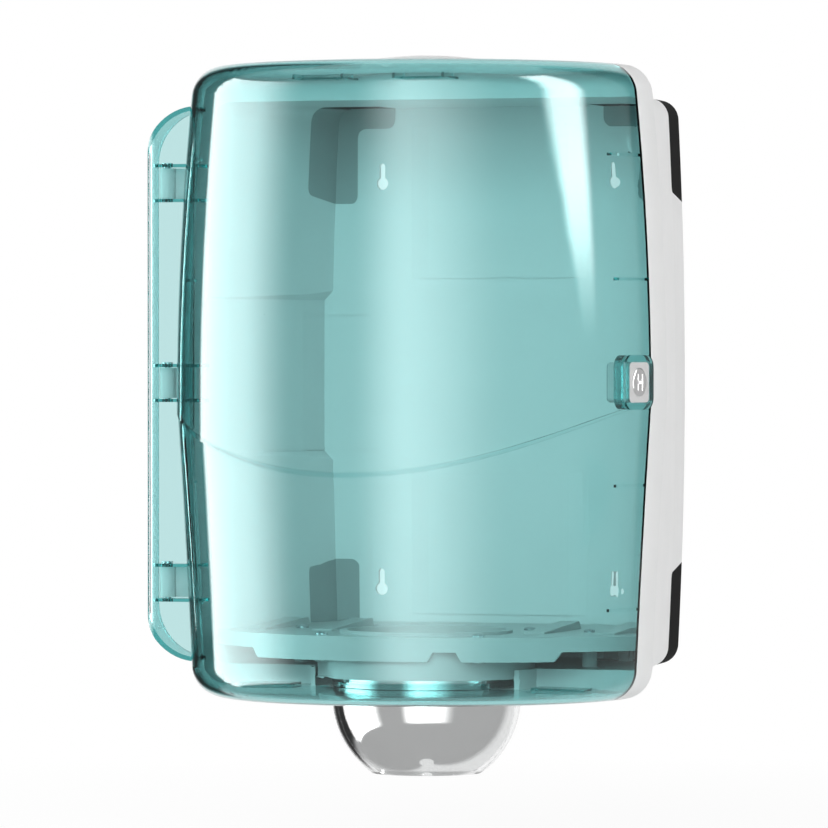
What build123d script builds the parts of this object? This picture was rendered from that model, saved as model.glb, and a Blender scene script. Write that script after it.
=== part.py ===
"""Wall-mounted centre-feed wiper dispenser. Millimetres, +Z up, the front faces -Y.
The origin is the centre of the four keyholes on the wall plane."""
import math
import os

from build123d import *

os.makedirs("parts", exist_ok=True)

# Driving dimensions of the whole body
AXIS_Y = -146.0            # roll axis, the barrel's and the nozzle's centre line
WALL = 3.0                 # moulded wall of cover and housing
BELT_R = 156.0             # widest radius of the barrel
BELT_Z = -7.0
TOP_Z = 200.0
BOTTOM_Z = -192.0
TOP_R = 144.8              # barrel radius carried up to the roof
BOTTOM_R = 147.9
EDGE_FILLET = 20.0         # round between barrel and roof, barrel and floor
CROWN_R = 65.0             # shallow round dome on the roof
CROWN_RISE = 7.0
BELLY_R = 68.0             # the same dome under the floor, round the nozzle
BELLY_DROP = 6.0
PART_Y = -170.0            # where cover meets housing
PART_GAP = 0.5
RIM_BACK_Y = -144.0        # back of the housing's front section
FAR = 400.0                # longer than the whole part, for cutting blocks

# Lower front: it tapers in below a smile-shaped crease
CREASE_R = 292.0           # radius of the crease seen from the front
CREASE_LOW_Z = -53.0       # lowest point of the crease, at the middle
TAPER_MID_R = 150.6        # tapered radius at TAPER_MID_Z
TAPER_MID_Z = -95.0
TAPER_END_R = 145.8        # tapered radius at the floor

# Rear section of the housing
REAR_TOP_Z = 183.0
REAR_BOTTOM_Z = -177.0
REAR_CORNER = 13.0
REAR_BULGE = 5.0           # bow of the side edges at the wall
REAR_INSET = 4.0           # rear section's half width where it meets the rim, less than the barrel's
REAR_END_OUT = 0.2         # its upper and lower corners there, past the barrel's upper radius
REAR_WALL_W = 124.0        # half width on the wall
REAR_KNEE_Y = -34.0
REAR_KNEE_W = 128.0
REAR_FRONT_W = BELT_R - REAR_INSET
REAR_FRONT_END_W = TOP_R + REAR_END_OUT
REAR_DRAFT = 0.6           # the side walls thicken by this inwards
SEAT_W = 115.0             # inside half width beside the roll, at the back
BELT_POCKET_W = 120.5      # inside half width of the middle zone
BELT_POCKET_TOP = 66.0
BELT_POCKET_BOTTOM = -52.0
BELT_POCKET_RAMP = 10.0
LINE_RIB = 0.8             # thin raised lines that mark the roll sizes
LINE_RIB_TOP = 46.0
LINE_RIB_BOTTOM = -41.0
LINE_START_X = 84.5        # the lines start here on the back wall
LINE_FRONT_Y = -80.0       # and end here on the side walls
PAD_W = 48.0               # soft raised pad behind the roll
PAD_H = 1.5
PAD_TOP = 168.0
PAD_SIDE_RUN = 12.0
PAD_MARGIN = 4.0           # from a pad to the middle zone
PAD_LOW_RISE = 30.0        # lower pad's foot above the floor

# Keyholes
KEY_X = 80.0
KEY_Z = 131.5
KEY_R = 4.0
KEY_SLOT_W = 4.0
KEY_SLOT_RISE = 13.0       # top of the slot above the round part's centre

# Corner bumpers
BUMPER_LEG_X = 97.0        # inner edge of the upright leg on the back wall
BUMPER_LEG_SIDE = 37.0     # how far the legs reach forwards
BUMPER_IN_Z = 121.0        # end of the upright leg from the pattern's centre line, upper pair
BUMPER_IN_LOW = 115.0      # the same, lower pair
BUMPER_SLANT = 6.0         # the upright leg's end slopes by this
BUMPER_ARM_X = 71.0        # end of the level arm
BUMPER_ARM_H = 16.0
BUMPER_ROUND = 6.0

# Nozzle
DOME_R = 55.7
DOME_CENTRE_Z = -192.0
DOME_BOTTOM_Z = -240.0
DOME_WALL = 1.8
SHELL_OUTER_R = 59.0
SHELL_GAP = 0.35
SHELL_TOP_Z = -184.0
NOZZLE_HOLE_R = 61.0
EXIT_R = 24.0
RUN_FIT = 0.05             # radial clearance of every running fit

# Nozzle holder under the shelf
HOLDER_R = 68.0
HOLDER_BORE_R = 61.5
HOLDER_BOTTOM_Z = -180.5
LIP_T = 3.0
LIP_BORE_R = DOME_R + RUN_FIT
FLANGE_T = 2.5
BOSS_ORBIT = 72.0
BOSS_R = 4.5
WELL_R = 72.5              # round well in the housing floor
WELL_T = 3.0
HOLDER_BOSS_Z = -169.0
INSERT_FLANGE_T = 1.5
FUNNEL_OUT_R = 16.0
FUNNEL_TOP_R = 51.0
FUNNEL_T = 1.5
FUNNEL_FIT = 1.5           # round the funnel's rim in the holder
TEAR_LIP = 3.0             # tear ring's lip on the dome's flat end
TEAR_BORE_R = 12.0
TEAR_SLOTS = 10
TEAR_SLOT_L = 14.0
TEAR_SLOT_W = 2.0

# Roll shelf
SHELF_TOP_Z = -152.5
SHELF_T = 3.0
SHELF_W = 137.0
SHELF_FRONT_Y = -219.0     # the bowed front edge at its middle
SHELF_SKIRT = 15.0
SHELF_SIDE_GAP = 1.0
SHELF_HOLE_R = 50.0
COAMING_W = 4.0            # raised rim round the shelf's hole
COAMING_H = 2.0
SHELF_BOSS_X = 96.0
SHELF_BOSS_FRONT_Y = -112.0
SHELF_BOSS_BACK_Y = -34.0
BOSS_MARGIN = 1.0          # boss under the shelf wider than the screw's head by this
SCREW_R = 2.0
SCREW_HEAD_R = 3.8
SCREW_HEAD_H = 2.4
SCREW_LENGTH = 14.0
DRIVE_W = 1.2
SHELF_END_Y = -152.0
SHELF_KNEE_W = 116.5
SHELF_BACK_W = 109.5
NOTCH_NEAR_X = 24.0
NOTCH_FAR_X = 46.0
NOTCH_TOP = 9.0            # depth of the notches below the shelf's top
NOTCH_RAMP = 4.0           # run of a notch's sloping sides
NOTCH_START = 140.0        # the notches are cut forwards from here
END_NOTCH_X = 96.0
RIDGE_OUTER_X = 115.0
RIDGE_INNER_X = 70.0
RIDGE_BACK_Y = -70.0
RIDGE_H = 5.0
RIDGE_W = 13.0

# Hinge on the left
HINGE_OUT = 7.0            # hinge axis outside the barrel's widest radius
HINGE_X = -BELT_R - HINGE_OUT
HINGE_Y = -172.0
KNUCKLE_R = 5.0
KNUCKLE_H = 19.0
KNUCKLE_STEP = 125.0       # from the middle knuckle to the upper and lower one
KNUCKLE_MID_Z = 3.0
NECK_T = 2.5               # neck of a knuckle, thin enough for the wing to swing past
NECK_RAMP_X = -HINGE_X - 6.0   # the neck is thin from the axis to here
PIN_R = 2.5
PIN_HEAD = 1.0             # rim and thickness of the pin's head
EAR_T = 2.0                # ears of the cover, above and below each knuckle
EAR_MARGIN = 0.5           # round end of an ear past the knuckle
EAR_GAP = 0.4
WING_SIDE = 9.5            # wing's left edge outside the hinge axis
WING_LEFT_X = HINGE_X - WING_SIDE
WING_FRONT_Y = -190.0
WING_BACK_Y = -169.0
WING_INTO = 16.0           # wing's reach inside the barrel's widest radius
WING_RIGHT_X = WING_INTO - BELT_R
WING_TOP_Z = 176.0
WING_BOTTOM_Z = -171.0
WING_CORNER = 36.0
WING_WALL = 2.6
WING_EDGE = 9.0
EAR_INTO = 19.0            # the same for the ears beside the knuckles
EAR_INNER_X = EAR_INTO - BELT_R
NECK_INTO = 9.5            # and for the knuckles' necks, which end in the rim
NECK_REACH_X = BELT_R - NECK_INTO
NECK_FOOT_X = -HINGE_X - 11.0  # the neck has its full thickness from here inwards
NECK_Y = PART_Y + PART_GAP     # front face of the necks
TONGUE_TOP_LEFT_X = -57.0
TONGUE_TOP_MID_X = 9.0
TONGUE_LOW_RIGHT_X = 96.0
TONGUE_TOP_Z = 194.4
TONGUE_LOW_Z = -188.4
TONGUE_T = 2.0
TONGUE_W = 34.0
TONGUE_REACH = 9.0
GUSSET_T = 2.0             # webs beside each tongue
GUSSET_H = 12.0
RIB_STEP_NEAR = 63.0
RIB_STEP_FAR = 139.0
RIB_NEAR_R = BELT_R - 8.0  # inner ends of the side ribs
RIB_FAR_R = BELT_R - 12.0
RIB_LENGTH = 30.0
RIB_T = 1.8

# Lock on the right
LOCK_ANGLE = 75.0          # round the barrel from the front
LOCK_Z = 4.0
LOCK_TRAVEL = 4.0
PLATE_W = 23.0
PLATE_H = 24.6
PLATE_CORNER = 3.0
CASE_DEPTH = 14.0
CASE_WALL = 1.6
FRAME_MARGIN = 4.4
FRAME_IN = 9.0
FRAME_OUT = 1.0
FIT = 0.15                 # gap of a fixed insert in its seat
BUTTON_W = 14.8
BUTTON_H = 17.8
BUTTON_PROUD = 0.9
BUTTON_LIP = 1.3           # the button's flange is wider than its face by this
FLANGE_FIT = 0.4           # round the flange in the case
STEM_R = 3.0
LATCH_T = 2.6
LATCH_GAP = 0.2            # latch plate to cap, at rest
LATCH_H = 23.0
HOOK_OUT = 5.0
HOOK_NEAR = 20.0
HOOK_FAR = 22.6
LATCH_NEAR = 8.0
KEEPER_NEAR = 17.0
KEEPER_FAR = 19.4
KEEPER_DEPTH = 10.2
KEEPER_MARGIN = 4.0        # keeper longer than the latch by this
CASE_PROUD = 0.4
CAP_T = 2.0
BUTTON_FLANGE_T = 2.0
LATCH_SCREW_R = 1.5
LATCH_SCREW_HEAD_R = 4.2
LATCH_SCREW_L = 8.0
KEY_SLOT_STEP = 2.4
KEY_SLOT_T = 1.6
KEY_SLOT_DEPTH = 1.4
SPRING_R = 4.4
SPRING_WIRE_R = 0.45
SPRING_TURNS = 5

lock_radians = math.radians(LOCK_ANGLE)
lock_out = Vector(math.sin(lock_radians), -math.cos(lock_radians), 0)
lock_back = Vector(math.cos(lock_radians), math.sin(lock_radians), 0)
lock_plane = Plane(origin=(BELT_R * lock_out.X, AXIS_Y + BELT_R * lock_out.Y, LOCK_Z),
                   x_dir=lock_back, z_dir=lock_out)
profile_plane = Plane(origin=(0, AXIS_Y, 0), x_dir=(1, 0, 0), z_dir=(0, -1, 0))
roll_axis = Axis((0, AXIS_Y, 0), (0, 0, 1))
nozzle_plane = Plane(origin=(0, AXIS_Y, 0))

# The common body: a barrel of revolution, stepped in below the crease
with BuildPart() as barrel_outer:
    with BuildSketch(profile_plane) as section:
        with BuildLine():
            ThreePointArc((TOP_R, TOP_Z), (BELT_R, BELT_Z), (BOTTOM_R, BOTTOM_Z))
            Line((BOTTOM_R, BOTTOM_Z), (0, BOTTOM_Z))
            Line((0, BOTTOM_Z), (0, TOP_Z + CROWN_RISE))
            Spline((0, TOP_Z + CROWN_RISE), (CROWN_R, TOP_Z), tangents=((1, 0), (1, -0.15)))
            Line((CROWN_R, TOP_Z), (TOP_R, TOP_Z))
        make_face()
        fillet(section.vertices().sort_by(Axis.X)[-2:], EDGE_FILLET)
    revolve(axis=roll_axis)

with BuildPart() as barrel_inner:
    with BuildSketch(profile_plane) as section:
        with BuildLine():
            ThreePointArc((TOP_R - WALL, TOP_Z - WALL), (BELT_R - WALL, BELT_Z), (BOTTOM_R - WALL, BOTTOM_Z))
            Line((BOTTOM_R - WALL, BOTTOM_Z), (0, BOTTOM_Z))
            Line((0, BOTTOM_Z), (0, TOP_Z - WALL + CROWN_RISE))
            Spline((0, TOP_Z - WALL + CROWN_RISE), (CROWN_R, TOP_Z - WALL), tangents=((1, 0), (1, -0.15)))
            Line((CROWN_R, TOP_Z - WALL), (TOP_R - WALL, TOP_Z - WALL))
        make_face()
        fillet(section.vertices().sort_by(Axis.X)[-2:], EDGE_FILLET - WALL)
    revolve(axis=roll_axis)

with BuildPart() as taper_outer:
    with BuildSketch(profile_plane) as section:
        with BuildLine():
            ThreePointArc((BELT_R, BELT_Z), (TAPER_MID_R, TAPER_MID_Z), (TAPER_END_R, BOTTOM_Z))
            Line((TAPER_END_R, BOTTOM_Z), (BELLY_R, BOTTOM_Z))
            Spline((BELLY_R, BOTTOM_Z), (0, BOTTOM_Z - BELLY_DROP), tangents=((-1, -0.15), (-1, 0)))
            Line((0, BOTTOM_Z - BELLY_DROP), (0, BELT_Z))
            Line((0, BELT_Z), (BELT_R, BELT_Z))
        make_face()
        fillet(section.vertices().group_by(Axis.Y)[1].sort_by(Axis.X)[-1], EDGE_FILLET)
    revolve(axis=roll_axis)

with BuildPart() as taper_inner:
    with BuildSketch(profile_plane) as section:
        with BuildLine():
            ThreePointArc((BELT_R - WALL, BELT_Z), (TAPER_MID_R - WALL, TAPER_MID_Z),
                          (TAPER_END_R - WALL, BOTTOM_Z + WALL))
            Line((TAPER_END_R - WALL, BOTTOM_Z + WALL), (0, BOTTOM_Z + WALL))
            Line((0, BOTTOM_Z + WALL), (0, BELT_Z))
            Line((0, BELT_Z), (BELT_R - WALL, BELT_Z))
        make_face()
        fillet(section.vertices().group_by(Axis.Y)[0].sort_by(Axis.X)[-1], EDGE_FILLET - WALL)
    revolve(axis=roll_axis)

with BuildPart() as body_outer:
    add(barrel_outer.part)
    with BuildSketch(Plane.XZ.offset(-FAR)):
        with Locations((0, CREASE_LOW_Z + CREASE_R)):
            Circle(CREASE_R)
    extrude(amount=2 * FAR, mode=Mode.INTERSECT)
    add(taper_outer.part)

with BuildPart() as body_inner:
    add(barrel_inner.part)
    with BuildSketch(Plane.XZ.offset(-FAR)):
        with Locations((0, CREASE_LOW_Z + WALL + CREASE_R)):
            Circle(CREASE_R)
    extrude(amount=2 * FAR, mode=Mode.INTERSECT)
    add(taper_inner.part)

# Rear section, outside and inside, as lofts from the wall forwards
rear_mid_z = (REAR_TOP_Z + REAR_BOTTOM_Z) / 2
with BuildPart() as rear_outer:
    for station_y, half_w, end_w in ((0, REAR_WALL_W, REAR_WALL_W - REAR_BULGE),
                                     (REAR_KNEE_Y, REAR_KNEE_W, REAR_KNEE_W - REAR_BULGE),
                                     (RIM_BACK_Y, REAR_FRONT_W, REAR_FRONT_END_W)):
        with BuildSketch(Plane(origin=(0, station_y, 0), x_dir=(1, 0, 0), z_dir=(0, -1, 0))) as station:
            with BuildLine():
                ThreePointArc((end_w, REAR_TOP_Z), (half_w, rear_mid_z), (end_w, REAR_BOTTOM_Z))
                Line((end_w, REAR_BOTTOM_Z), (-end_w, REAR_BOTTOM_Z))
                ThreePointArc((-end_w, REAR_BOTTOM_Z), (-half_w, rear_mid_z), (-end_w, REAR_TOP_Z))
                Line((-end_w, REAR_TOP_Z), (end_w, REAR_TOP_Z))
            make_face()
            fillet(station.vertices(), REAR_CORNER)
    loft(ruled=True)

knee_in_w = REAR_KNEE_W - WALL - REAR_DRAFT
front_in_w = REAR_FRONT_W - WALL - REAR_DRAFT
front_in_end_w = REAR_FRONT_END_W - WALL - REAR_DRAFT
front_in_y = RIM_BACK_Y - WALL - 1
with BuildPart() as rear_inner:
    for station_y, half_w, end_w in ((-WALL, SEAT_W, SEAT_W - REAR_BULGE),
                                     (REAR_KNEE_Y, knee_in_w - WALL, knee_in_w - WALL - REAR_BULGE),
                                     (front_in_y, front_in_w, front_in_end_w)):
        with BuildSketch(Plane(origin=(0, station_y, 0), x_dir=(1, 0, 0), z_dir=(0, -1, 0))) as station:
            with BuildLine():
                ThreePointArc((end_w, REAR_TOP_Z - WALL), (half_w, rear_mid_z),
                              (end_w, REAR_BOTTOM_Z + WALL))
                Line((end_w, REAR_BOTTOM_Z + WALL), (-end_w, REAR_BOTTOM_Z + WALL))
                ThreePointArc((-end_w, REAR_BOTTOM_Z + WALL), (-half_w, rear_mid_z),
                              (-end_w, REAR_TOP_Z - WALL))
                Line((-end_w, REAR_TOP_Z - WALL), (end_w, REAR_TOP_Z - WALL))
            make_face()
            fillet(station.vertices(), REAR_CORNER - WALL)
    loft(ruled=True)

with BuildPart() as belt_pocket:
    for station_y, half_w in ((-WALL, BELT_POCKET_W), (REAR_KNEE_Y, knee_in_w), (front_in_y, front_in_w)):
        inset_w = half_w - BELT_POCKET_RAMP
        with BuildSketch(Plane(origin=(0, station_y, 0), x_dir=(1, 0, 0), z_dir=(0, -1, 0))):
            with BuildLine():
                Polyline((half_w, BELT_POCKET_TOP - BELT_POCKET_RAMP), (inset_w, BELT_POCKET_TOP),
                         (-inset_w, BELT_POCKET_TOP), (-half_w, BELT_POCKET_TOP - BELT_POCKET_RAMP),
                         (-half_w, BELT_POCKET_BOTTOM + BELT_POCKET_RAMP), (-inset_w, BELT_POCKET_BOTTOM),
                         (inset_w, BELT_POCKET_BOTTOM), (half_w, BELT_POCKET_BOTTOM + BELT_POCKET_RAMP),
                         close=True)
            make_face()
    loft(ruled=True)

# Windows of the corner bumpers: an L seen from the front, with a sloping end seen from the side
with BuildPart() as bumper_windows:
    for up, leg_end, arm_edge in ((1, BUMPER_IN_Z, REAR_TOP_Z - BUMPER_ARM_H),
                                  (-1, BUMPER_IN_LOW, -REAR_BOTTOM_Z - BUMPER_ARM_H)):
        leg_low = leg_end - BUMPER_SLANT / 2
        with BuildSketch(Plane.XZ.offset(-1)):
            with BuildLine():
                FilletPolyline((BUMPER_LEG_X, up * leg_low), (BUMPER_LEG_X, up * arm_edge),
                               (BUMPER_ARM_X, up * arm_edge), (BUMPER_ARM_X, up * FAR / 2),
                               (FAR / 2, up * FAR / 2), (FAR / 2, up * leg_low),
                               radius=BUMPER_ROUND, close=True)
            make_face()
        extrude(amount=1 + BUMPER_LEG_SIDE)
    with BuildSketch(Plane.YZ):
        for up, leg_end in ((1, BUMPER_IN_Z), (-1, BUMPER_IN_LOW)):
            with BuildLine():
                FilletPolyline((BUMPER_LEG_SIDE, up * (leg_end - 1.5 * BUMPER_SLANT)),
                               (-BUMPER_LEG_SIDE, up * (leg_end + 0.5 * BUMPER_SLANT)),
                               (-BUMPER_LEG_SIDE, up * FAR / 2), (BUMPER_LEG_SIDE, up * FAR / 2),
                               radius=BUMPER_ROUND, close=True)
            make_face()
    extrude(amount=FAR / 2, mode=Mode.INTERSECT)
    mirror(about=Plane.YZ)

# The housing's front hollow, its latch keeper, and the cutting block behind the parting plane
with BuildPart() as front_cavity:
    add(body_inner.part)
    with Locations((0, RIM_BACK_Y - WALL + FAR / 2, 0)):
        Box(FAR, FAR, 2 * FAR, mode=Mode.SUBTRACT)

with BuildPart() as keeper:
    with BuildSketch(lock_plane.offset(-KEEPER_DEPTH)):
        with Locations(((KEEPER_NEAR + KEEPER_FAR) / 2, 0)):
            Rectangle(KEEPER_FAR - KEEPER_NEAR, LATCH_H + KEEPER_MARGIN)
    extrude(amount=KEEPER_DEPTH)
    add(body_outer.part, mode=Mode.INTERSECT)

# Rear housing
with BuildPart() as rear_housing:
    add(body_outer.part)
    with Locations((0, PART_Y + PART_GAP / 2 - FAR / 2, 0)):
        Box(FAR, FAR, 2 * FAR, mode=Mode.SUBTRACT)
    with Locations((0, RIM_BACK_Y + FAR / 2, 0)):
        Box(FAR, FAR, 2 * FAR, mode=Mode.SUBTRACT)
    add(front_cavity.part, mode=Mode.SUBTRACT)
    add(rear_outer.part)
    with BuildSketch(nozzle_plane.offset(BOTTOM_Z)):
        Circle(WELL_R)
        with Locations((0, PART_Y + PART_GAP / 2 - AXIS_Y - FAR / 2)):
            Rectangle(FAR, FAR, mode=Mode.SUBTRACT)
    extrude(amount=REAR_BOTTOM_Z - BOTTOM_Z + WALL)
    add(rear_inner.part, mode=Mode.SUBTRACT)
    add(belt_pocket.part, mode=Mode.SUBTRACT)
    with BuildSketch(nozzle_plane.offset(BOTTOM_Z + WALL)):
        Circle(WELL_R - WELL_T)
    extrude(amount=REAR_BOTTOM_Z - BOTTOM_Z, mode=Mode.SUBTRACT)
    with BuildSketch(nozzle_plane.offset(BOTTOM_Z - BELLY_DROP - 1)):
        Circle(NOZZLE_HOLE_R)
    extrude(amount=BELLY_DROP + WALL + 2, mode=Mode.SUBTRACT)
    # wider middle zone's size lines, on the side walls and round the corners
    line_front_w = knee_in_w + (REAR_FRONT_W - REAR_KNEE_W) * (REAR_KNEE_Y - LINE_FRONT_Y) / (
        REAR_KNEE_Y - RIM_BACK_Y)
    for line_z in (LINE_RIB_TOP, LINE_RIB_BOTTOM):
        for side in (-1, 1):
            with BuildSketch(Plane.XY.offset(line_z)):
                with BuildLine():
                    Polyline((side * LINE_START_X, -WALL), (side * BELT_POCKET_W, -WALL),
                             (side * knee_in_w, REAR_KNEE_Y), (side * line_front_w, LINE_FRONT_Y))
                trace(line_width=2 * LINE_RIB)
            extrude(amount=LINE_RIB)
    # soft pads behind the roll, above and below the middle zone
    for pad_low, pad_high in ((BELT_POCKET_TOP + PAD_MARGIN, PAD_TOP),
                              (REAR_BOTTOM_Z + PAD_LOW_RISE, BELT_POCKET_BOTTOM - PAD_MARGIN)):
        with BuildSketch(Plane.XY.offset(pad_low)):
            with BuildLine():
                Polyline((-PAD_W - PAD_SIDE_RUN, -WALL), (-PAD_W, -WALL - PAD_H), (PAD_W, -WALL - PAD_H),
                         (PAD_W + PAD_SIDE_RUN, -WALL), close=True)
            make_face()
        extrude(amount=pad_high - pad_low)
    # bosses under the roll shelf
    with BuildSketch(Plane.XY.offset(REAR_BOTTOM_Z + 1)):
        with Locations(*[(x, y) for x in (-SHELF_BOSS_X, SHELF_BOSS_X)
                         for y in (SHELF_BOSS_FRONT_Y, SHELF_BOSS_BACK_Y)]):
            Circle(SCREW_HEAD_R + BOSS_MARGIN)
    extrude(amount=SHELF_TOP_Z - SHELF_T - REAR_BOTTOM_Z - 1)
    with BuildSketch(Plane.XY.offset(SHELF_TOP_Z - SHELF_T)):
        with Locations(*[(x, y) for x in (-SHELF_BOSS_X, SHELF_BOSS_X)
                         for y in (SHELF_BOSS_FRONT_Y, SHELF_BOSS_BACK_Y)]):
            Circle(SCREW_R)
    extrude(amount=-SCREW_LENGTH, mode=Mode.SUBTRACT)
    # keyholes for the wall screws
    for x in (-KEY_X, KEY_X):
        for z in (-KEY_Z, KEY_Z):
            with BuildSketch(Plane(origin=(x, 1, z), x_dir=(1, 0, 0), z_dir=(0, -1, 0))):
                Circle(KEY_R)
                with Locations((0, (KEY_SLOT_RISE - KEY_SLOT_W / 2) / 2)):
                    Rectangle(KEY_SLOT_W, KEY_SLOT_RISE - KEY_SLOT_W / 2)
                with Locations((0, KEY_SLOT_RISE - KEY_SLOT_W / 2)):
                    Circle(KEY_SLOT_W / 2)
            extrude(amount=WALL + 4, mode=Mode.SUBTRACT)
    # hinge knuckles on the left edge
    for knuckle_z in (KNUCKLE_MID_Z - KNUCKLE_STEP, KNUCKLE_MID_Z, KNUCKLE_MID_Z + KNUCKLE_STEP):
        with BuildSketch(Plane.XY.offset(knuckle_z - KNUCKLE_H / 2)):
            with Locations((HINGE_X, HINGE_Y)):
                Circle(KNUCKLE_R)
            with BuildLine():
                Polyline((HINGE_X, NECK_Y), (-NECK_REACH_X, NECK_Y), (-NECK_REACH_X, NECK_Y + KNUCKLE_R),
                         (-NECK_FOOT_X, NECK_Y + KNUCKLE_R), (-NECK_RAMP_X, NECK_Y + NECK_T),
                         (HINGE_X, NECK_Y + NECK_T), close=True)
            make_face()
        extrude(amount=KNUCKLE_H)
        with BuildSketch(Plane.XY.offset(knuckle_z - KNUCKLE_H / 2 - 1)):
            with Locations((HINGE_X, HINGE_Y)):
                Circle(PIN_R + RUN_FIT)
        extrude(amount=KNUCKLE_H + 2, mode=Mode.SUBTRACT)
    # keeper rib that the latch hooks behind
    add(keeper.part)
    # windows for the corner bumpers
    add(bumper_windows.part, mode=Mode.SUBTRACT)
rear_housing.part.label = "rear_housing"
export_step(rear_housing.part, "parts/rear_housing.step")

# Corner bumpers: each fills its window and carries on both faces of the wall
for bumper_name, side_x, side_z in (("bumper_upper_left", -1, 1), ("bumper_upper_right", 1, 1),
                                    ("bumper_lower_left", -1, -1), ("bumper_lower_right", 1, -1)):
    with BuildPart() as bumper:
        add(rear_outer.part)
        add(rear_inner.part, mode=Mode.SUBTRACT)
        add(bumper_windows.part, mode=Mode.INTERSECT)
        with Locations((side_x * FAR / 2, 0, side_z * FAR / 2)):
            Box(FAR, FAR, FAR, mode=Mode.INTERSECT)
    bumper.part.label = bumper_name
    export_step(bumper.part, "parts/" + bumper_name + ".step")

# Roll shelf
with BuildPart() as roll_shelf:
    with BuildSketch(Plane.XY.offset(SHELF_TOP_Z - SHELF_T)):
        with BuildLine():
            ThreePointArc((-SHELF_W, SHELF_END_Y), (0, SHELF_FRONT_Y), (SHELF_W, SHELF_END_Y))
            Polyline((SHELF_W, SHELF_END_Y), (SHELF_W, RIM_BACK_Y + 6), (SHELF_KNEE_W, REAR_KNEE_Y),
                     (SHELF_BACK_W, -WALL - SHELF_SIDE_GAP), (-SHELF_BACK_W, -WALL - SHELF_SIDE_GAP),
                     (-SHELF_KNEE_W, REAR_KNEE_Y), (-SHELF_W, RIM_BACK_Y + 6), (-SHELF_W, SHELF_END_Y))
        make_face()
        with Locations((0, AXIS_Y)):
            Circle(SHELF_HOLE_R, mode=Mode.SUBTRACT)
    extrude(amount=SHELF_T)
    with BuildSketch(Plane.XY.offset(SHELF_TOP_Z)):
        with BuildLine():
            ThreePointArc((-SHELF_W, SHELF_END_Y), (0, SHELF_FRONT_Y), (SHELF_W, SHELF_END_Y))
            Line((SHELF_W, SHELF_END_Y), (SHELF_W, SHELF_END_Y + SHELF_T))
            ThreePointArc((SHELF_W, SHELF_END_Y + SHELF_T), (0, SHELF_FRONT_Y + SHELF_T),
                          (-SHELF_W, SHELF_END_Y + SHELF_T))
            Line((-SHELF_W, SHELF_END_Y + SHELF_T), (-SHELF_W, SHELF_END_Y))
        make_face()
    extrude(amount=-SHELF_SKIRT)
    with BuildSketch(Plane.XZ.offset(NOTCH_START)):
        with BuildLine():
            Polyline((NOTCH_NEAR_X, SHELF_TOP_Z - SHELF_SKIRT - 1),
                     (NOTCH_NEAR_X + NOTCH_RAMP, SHELF_TOP_Z - NOTCH_TOP),
                     (NOTCH_FAR_X - NOTCH_RAMP, SHELF_TOP_Z - NOTCH_TOP),
                     (NOTCH_FAR_X, SHELF_TOP_Z - SHELF_SKIRT - 1), close=True)
        make_face()
        for side in (-1, 1):
            with BuildLine():
                Polyline((side * END_NOTCH_X, SHELF_TOP_Z - SHELF_SKIRT - 1),
                         (side * (END_NOTCH_X + 5), SHELF_TOP_Z - NOTCH_TOP),
                         (side * (SHELF_W + 5), SHELF_TOP_Z - NOTCH_TOP),
                         (side * (SHELF_W + 5), SHELF_TOP_Z - SHELF_SKIRT - 1), close=True)
            make_face()
    extrude(amount=-SHELF_FRONT_Y - NOTCH_START + 5, mode=Mode.SUBTRACT)
    with BuildSketch(Plane.XY.offset(SHELF_TOP_Z)):
        with Locations((0, AXIS_Y)):
            Circle(SHELF_HOLE_R + COAMING_W)
            Circle(SHELF_HOLE_R, mode=Mode.SUBTRACT)
    extrude(amount=COAMING_H)
    # flat-topped ridges that carry the roll's edge
    for ridge_x in (-RIDGE_OUTER_X, -RIDGE_INNER_X, RIDGE_INNER_X, RIDGE_OUTER_X):
        with BuildSketch(Plane.YZ.offset(ridge_x - RIDGE_W / 2)):
            with BuildLine():
                Polyline((SHELF_END_Y + 6, SHELF_TOP_Z - 1), (SHELF_END_Y + 8, SHELF_TOP_Z + 1),
                         (RIDGE_BACK_Y, SHELF_TOP_Z + RIDGE_H), (RIDGE_BACK_Y + 6, SHELF_TOP_Z - 1), close=True)
            make_face()
        extrude(amount=RIDGE_W)
    with BuildSketch(Plane.XY.offset(SHELF_TOP_Z + RIDGE_H + 1)):
        with Locations(*[(x, y) for x in (-SHELF_BOSS_X, SHELF_BOSS_X)
                         for y in (SHELF_BOSS_FRONT_Y, SHELF_BOSS_BACK_Y)]):
            Circle(SCREW_R + FIT)
        with Locations((0, AXIS_Y)):
            with PolarLocations(BOSS_ORBIT, 4, start_angle=45):
                Circle(SCREW_R + FIT)
    extrude(amount=-2 * RIDGE_H - SHELF_T, mode=Mode.SUBTRACT)
roll_shelf.part.label = "roll_shelf"
export_step(roll_shelf.part, "parts/roll_shelf.step")

# Pan-head screws: shelf to housing, holder to shelf
with BuildPart() as shelf_screws:
    for x in (-SHELF_BOSS_X, SHELF_BOSS_X):
        for y in (SHELF_BOSS_FRONT_Y, SHELF_BOSS_BACK_Y):
            with BuildSketch(Plane.XY.offset(SHELF_TOP_Z)):
                with Locations((x, y)):
                    Circle(SCREW_HEAD_R)
            extrude(amount=SCREW_HEAD_H)
            with BuildSketch(Plane.XY.offset(SHELF_TOP_Z)):
                with Locations((x, y)):
                    Circle(SCREW_R)
            extrude(amount=-SCREW_LENGTH)
            with BuildSketch(Plane.XY.offset(SHELF_TOP_Z + SCREW_HEAD_H)):
                with Locations((x, y)):
                    Rectangle(SCREW_HEAD_R, DRIVE_W)
                    Rectangle(DRIVE_W, SCREW_HEAD_R)
            extrude(amount=-SCREW_HEAD_H / 2, mode=Mode.SUBTRACT)
shelf_screws.part.label = "shelf_screws"
export_step(shelf_screws.part, "parts/shelf_screws.step")

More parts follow.
